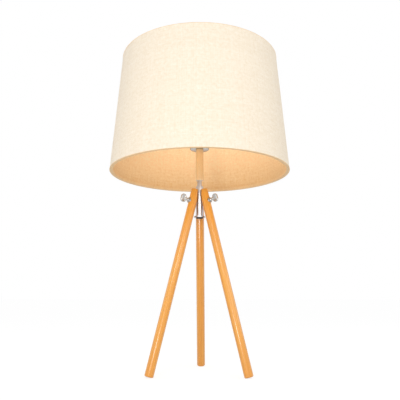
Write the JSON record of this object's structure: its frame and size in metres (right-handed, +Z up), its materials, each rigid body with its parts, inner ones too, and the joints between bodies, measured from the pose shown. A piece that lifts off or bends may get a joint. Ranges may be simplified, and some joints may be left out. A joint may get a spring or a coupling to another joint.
{
  "type": "tripod table lamp",
  "caption": "Table lamp on round wooden legs that splay from a grooved hub, with a slim post, a screw lampholder and a tapered linen drum shade.",
  "frame": {"origin": "on the table, under the lamp's axis, at the centre of the bottom of its box", "axes": "+Z up along the lamp's axis and its longest extent, +Y towards the back leg, -Y the front"},
  "size_m": [0.3, 0.3, 0.522],
  "materials": {
    "turned_wood": "satin oil-stained turned wood",
    "leg_wood": "satin oil-stained dowel",
    "pale_wood": "satin dowel",
    "steel": "zinc plated",
    "nickel": "nickel plated",
    "black_plastic": "moulded",
    "holder_plastic": "moulded thermoplastic",
    "white_ceramic": "unglazed",
    "brass": "bright",
    "opal_glass": "opal coated glass",
    "bulb_nickel": "nickel plated",
    "black_glass": "fused glass",
    "solder": "solder",
    "linen": "plain weave linen",
    "liner_film": "translucent styrene film",
    "painted_wire": "white enamelled",
    "linen_tape": "plain weave linen"
  },
  "bodies": {
    "base": {"hub": "turned_wood", "hub_core": "steel", "cord_bush": "black_plastic", "stem_tube": "steel", "post": "pale_wood", "seat_disc": "nickel", "lampholder_cap": "holder_plastic", "cap_nut": "steel", "lampholder_insert": "white_ceramic", "terminal_screws": "brass", "lampholder_barrel": "holder_plastic", "screw_shell": "brass", "centre_contact": "brass", "leg_back": "leg_wood", "leg_front_left": "leg_wood", "leg_front_right": "leg_wood"},
    "bulb": {"bulb_glass": "opal_glass", "bulb_cap": "bulb_nickel", "bulb_insulator": "black_glass", "bulb_contact": "solder"},
    "shade": {"shade_skin": "linen", "shade_liner": "liner_film", "shade_top_wire": "painted_wire", "shade_bottom_wire": "painted_wire", "shade_top_hem": "linen_tape", "shade_bottom_hem": "linen_tape", "spider_ring": "painted_wire", "spider_arm_back": "painted_wire", "spider_arm_left": "painted_wire", "spider_arm_right": "painted_wire"},
    "shade_ring_nut": {"shade_ring_nut": "holder_plastic"},
    "saddle_back": {"saddle_washer_back": "nickel"},
    "wing_back": {"wing_screw_back": "nickel"},
    "saddle_front_left": {"saddle_washer_front_left": "nickel"},
    "wing_front_left": {"wing_screw_front_left": "nickel"},
    "saddle_front_right": {"saddle_washer_front_right": "nickel"},
    "wing_front_right": {"wing_screw_front_right": "nickel"}
  },
  "joints": [
    {"name": "saddle_slide_back", "type": "slide", "parent": "base", "child": "saddle_back", "axis": [0, 0.9659, 0.2588], "range_m": [0, 0.00245]},
    {"name": "wing_turn_back", "type": "hinge", "parent": "saddle_back", "child": "wing_back", "pos_m": [0, 0.0129, 0.2728], "axis": [0, 0.9659, 0.2588], "range_deg": [0, 1260]},
    {"name": "saddle_slide_front_left", "type": "slide", "parent": "base", "child": "saddle_front_left", "axis": [-0.8365, -0.483, 0.2588], "range_m": [0, 0.00245]},
    {"name": "wing_turn_front_left", "type": "hinge", "parent": "saddle_front_left", "child": "wing_front_left", "pos_m": [-0.01117, -0.00645, 0.2728], "axis": [-0.8365, -0.483, 0.2588], "range_deg": [0, 1260]},
    {"name": "saddle_slide_front_right", "type": "slide", "parent": "base", "child": "saddle_front_right", "axis": [0.8365, -0.483, 0.2588], "range_m": [0, 0.00245]},
    {"name": "wing_turn_front_right", "type": "hinge", "parent": "saddle_front_right", "child": "wing_front_right", "pos_m": [0.01117, -0.00645, 0.2728], "axis": [0.8365, -0.483, 0.2588], "range_deg": [0, 1260]},
    {"name": "bulb_turn", "type": "hinge", "parent": "base", "child": "bulb", "pos_m": [0, 0, 0.4046], "axis": [0, 0, 1], "range_deg": [0, 1440]},
    {"name": "shade_swivel", "type": "hinge", "parent": "base", "child": "shade", "pos_m": [0, 0, 0.395], "axis": [0, 0, 1], "continuous": true},
    {"name": "ring_nut_turn", "type": "hinge", "parent": "base", "child": "shade_ring_nut", "pos_m": [0, 0, 0.3972], "axis": [0, 0, 1], "range_deg": [0, 720]}
  ],
  "couplings": [
    {"joint": "wing_turn_back", "follows": "saddle_slide_back", "rad_per_m": 8976},
    {"joint": "wing_turn_front_left", "follows": "saddle_slide_front_left", "rad_per_m": 8976},
    {"joint": "wing_turn_front_right", "follows": "saddle_slide_front_right", "rad_per_m": 8976}
  ]
}
